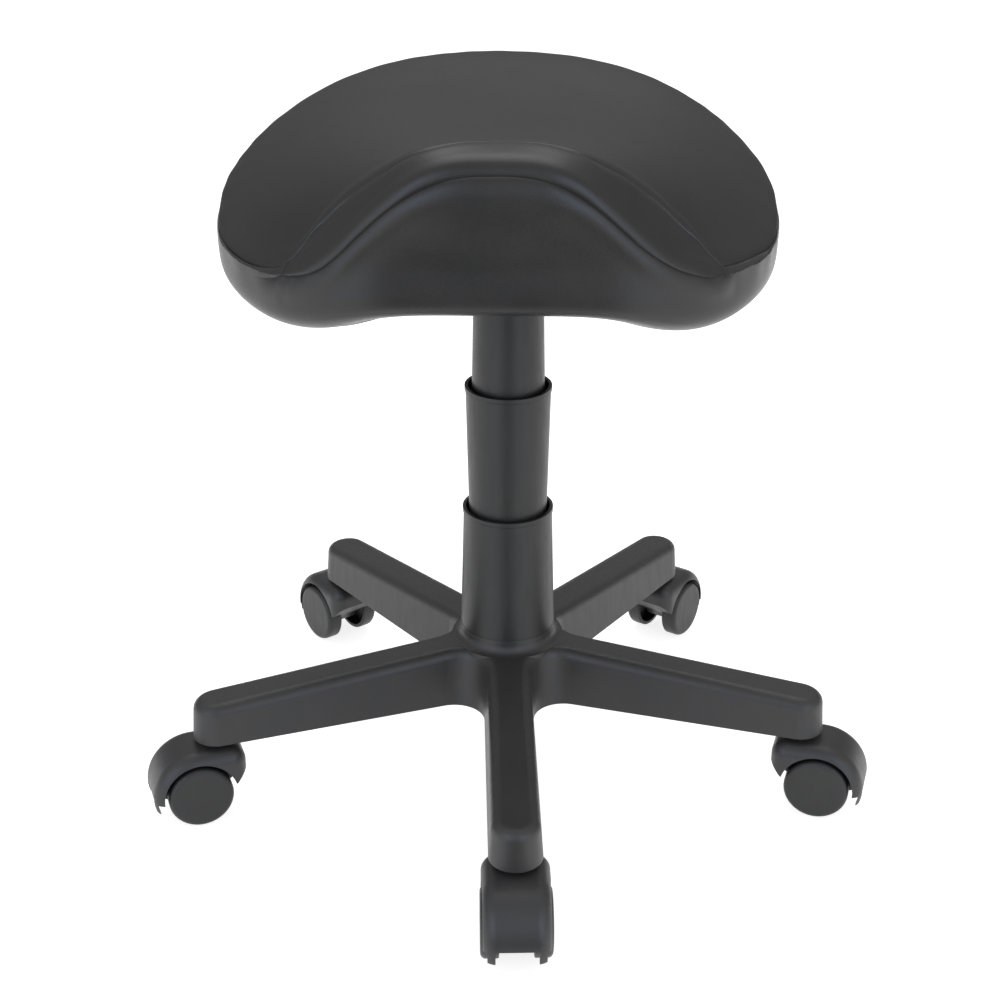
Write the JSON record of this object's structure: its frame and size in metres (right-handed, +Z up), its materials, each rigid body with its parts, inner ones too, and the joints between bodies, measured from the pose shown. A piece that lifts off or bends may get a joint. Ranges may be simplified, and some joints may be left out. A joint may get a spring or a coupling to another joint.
{
  "type": "saddle stool",
  "caption": "Height-adjustable saddle stool: padded saddle seat on a gas lift inside telescopic sleeves, on a star base with hooded twin-wheel casters.",
  "frame": {"origin": "on the floor, under the gas lift's axis", "axes": "+Z up along the gas lift's axis; the seat's front (the narrow pommel) faces -Y; +X is to the sitter's left"},
  "size_m": [0.5633, 0.5427, 0.5335],
  "materials": {
    "base_nylon": "satin",
    "cover_plastic": "satin",
    "hood_plastic": "satin",
    "wheel_plastic": "satin",
    "grip_plastic": "satin",
    "guide_plastic": "satin",
    "black_steel": "satin",
    "bright_steel": "polished",
    "zinc_steel": "satin",
    "bearing_steel": "satin",
    "buffer_rubber": "matte",
    "plywood": "matte",
    "dust_cloth": "matte",
    "seat_foam": "matte",
    "seat_vinyl": "satin"
  },
  "bodies": {
    "base": {"base_star": "base_nylon", "cover_lower": "cover_plastic", "lift_outer_tube": "black_steel", "lift_guide_bush": "guide_plastic", "thrust_washer_lower": "bearing_steel", "thrust_balls": "bearing_steel", "caster_stems": "zinc_steel", "stem_grip_rings": "bearing_steel"},
    "rod": {"thrust_washer_upper": "bearing_steel", "piston_rod": "bright_steel", "rod_clip": "bearing_steel", "rod_buffer": "buffer_rubber", "piston": "guide_plastic", "piston_seal": "buffer_rubber"},
    "middle_cover": {"cover_middle": "cover_plastic"},
    "seat": {"lift_cylinder": "bright_steel", "rod_guide": "guide_plastic", "cover_upper": "cover_plastic", "seat_plate": "black_steel", "lever_housing": "black_steel", "taper_socket": "black_steel", "lever_pin": "zinc_steel", "seat_bolts": "zinc_steel", "bolt_washers": "zinc_steel", "t_nuts": "zinc_steel", "seat_board": "plywood", "dust_cloth": "dust_cloth", "seat_foam": "seat_foam", "seat_cover": "seat_vinyl"},
    "valve": {"valve_button": "bearing_steel"},
    "lever": {"lever_rod": "black_steel", "lever_grip": "grip_plastic"},
    "caster_front": {"caster_front_hood": "hood_plastic", "caster_front_axle": "bearing_steel"},
    "caster_front_wheel_a": {"caster_front_wheel_a": "wheel_plastic"},
    "caster_front_wheel_b": {"caster_front_wheel_b": "wheel_plastic"},
    "caster_right": {"caster_right_hood": "hood_plastic", "caster_right_axle": "bearing_steel"},
    "caster_right_wheel_a": {"caster_right_wheel_a": "wheel_plastic"},
    "caster_right_wheel_b": {"caster_right_wheel_b": "wheel_plastic"},
    "caster_rear_right": {"caster_rear_right_hood": "hood_plastic", "caster_rear_right_axle": "bearing_steel"},
    "caster_rear_right_wheel_a": {"caster_rear_right_wheel_a": "wheel_plastic"},
    "caster_rear_right_wheel_b": {"caster_rear_right_wheel_b": "wheel_plastic"},
    "caster_rear_left": {"caster_rear_left_hood": "hood_plastic", "caster_rear_left_axle": "bearing_steel"},
    "caster_rear_left_wheel_a": {"caster_rear_left_wheel_a": "wheel_plastic"},
    "caster_rear_left_wheel_b": {"caster_rear_left_wheel_b": "wheel_plastic"},
    "caster_left": {"caster_left_hood": "hood_plastic", "caster_left_axle": "bearing_steel"},
    "caster_left_wheel_a": {"caster_left_wheel_a": "wheel_plastic"},
    "caster_left_wheel_b": {"caster_left_wheel_b": "wheel_plastic"}
  },
  "joints": [
    {"name": "seat_swivel", "type": "hinge", "parent": "base", "child": "rod", "pos_m": [0, 0, 0.0594], "axis": [0, 0, 1], "continuous": true},
    {"name": "seat_lift", "type": "slide", "parent": "rod", "child": "seat", "axis": [0, 0, 1], "range_m": [-0.09, 0.04]},
    {"name": "cover_slide", "type": "slide", "parent": "base", "child": "middle_cover", "axis": [0, 0, 1], "range_m": [-0.046, 0.021]},
    {"name": "lever_rock", "type": "hinge", "parent": "seat", "child": "lever", "pos_m": [0.034, 0, 0.4113], "axis": [0, -1, 0], "range_deg": [0, 4.5], "stiffness_Nm_per_rad": 12},
    {"name": "valve_press", "type": "slide", "parent": "seat", "child": "valve", "axis": [0, 0, -1], "range_m": [0, 0.0028]},
    {"name": "caster_front_swivel", "type": "hinge", "parent": "base", "child": "caster_front", "pos_m": [0.00824, -0.23586, 0.061], "axis": [0, 0, 1], "continuous": true},
    {"name": "caster_front_wheel_a_spin", "type": "hinge", "parent": "caster_front", "child": "caster_front_wheel_a", "pos_m": [0.00893, -0.25584, 0.025], "axis": [0.9994, 0.0349, 0], "continuous": true},
    {"name": "caster_front_wheel_b_spin", "type": "hinge", "parent": "caster_front", "child": "caster_front_wheel_b", "pos_m": [0.00893, -0.25584, 0.025], "axis": [0.9994, 0.0349, 0], "continuous": true},
    {"name": "caster_right_swivel", "type": "hinge", "parent": "base", "child": "caster_right", "pos_m": [0.22686, -0.06505, 0.061], "axis": [0, 0, 1], "continuous": true},
    {"name": "caster_right_wheel_a_spin", "type": "hinge", "parent": "caster_right", "child": "caster_right_wheel_a", "pos_m": [0.24608, -0.07056, 0.025], "axis": [0.2756, 0.9613, 0], "continuous": true},
    {"name": "caster_right_wheel_b_spin", "type": "hinge", "parent": "caster_right", "child": "caster_right_wheel_b", "pos_m": [0.24608, -0.07056, 0.025], "axis": [0.2756, 0.9613, 0], "continuous": true},
    {"name": "caster_rear_right_swivel", "type": "hinge", "parent": "base", "child": "caster_rear_right", "pos_m": [0.13197, 0.19565, 0.061], "axis": [0, 0, 1], "continuous": true},
    {"name": "caster_rear_right_wheel_a_spin", "type": "hinge", "parent": "caster_rear_right", "child": "caster_rear_right_wheel_a", "pos_m": [0.14315, 0.21223, 0.025], "axis": [-0.829, 0.5592, 0], "continuous": true},
    {"name": "caster_rear_right_wheel_b_spin", "type": "hinge", "parent": "caster_rear_right", "child": "caster_rear_right_wheel_b", "pos_m": [0.14315, 0.21223, 0.025], "axis": [-0.829, 0.5592, 0], "continuous": true},
    {"name": "caster_rear_left_swivel", "type": "hinge", "parent": "base", "child": "caster_rear_left", "pos_m": [-0.1453, 0.18597, 0.061], "axis": [0, 0, 1], "continuous": true},
    {"name": "caster_rear_left_wheel_a_spin", "type": "hinge", "parent": "caster_rear_left", "child": "caster_rear_left_wheel_a", "pos_m": [-0.15761, 0.20173, 0.025], "axis": [-0.788, -0.6157, 0], "continuous": true},
    {"name": "caster_rear_left_wheel_b_spin", "type": "hinge", "parent": "caster_rear_left", "child": "caster_rear_left_wheel_b", "pos_m": [-0.15761, 0.20173, 0.025], "axis": [-0.788, -0.6157, 0], "continuous": true},
    {"name": "caster_left_swivel", "type": "hinge", "parent": "base", "child": "caster_left", "pos_m": [-0.22177, -0.08072, 0.061], "axis": [0, 0, 1], "continuous": true},
    {"name": "caster_left_wheel_a_spin", "type": "hinge", "parent": "caster_left", "child": "caster_left_wheel_a", "pos_m": [-0.24056, -0.08756, 0.025], "axis": [0.342, -0.9397, 0], "continuous": true},
    {"name": "caster_left_wheel_b_spin", "type": "hinge", "parent": "caster_left", "child": "caster_left_wheel_b", "pos_m": [-0.24056, -0.08756, 0.025], "axis": [0.342, -0.9397, 0], "continuous": true}
  ],
  "couplings": [
    {"joint": "cover_slide", "follows": "seat_lift", "ratio": 0.5},
    {"joint": "valve_press", "follows": "lever_rock", "m_per_rad": 0.034}
  ]
}
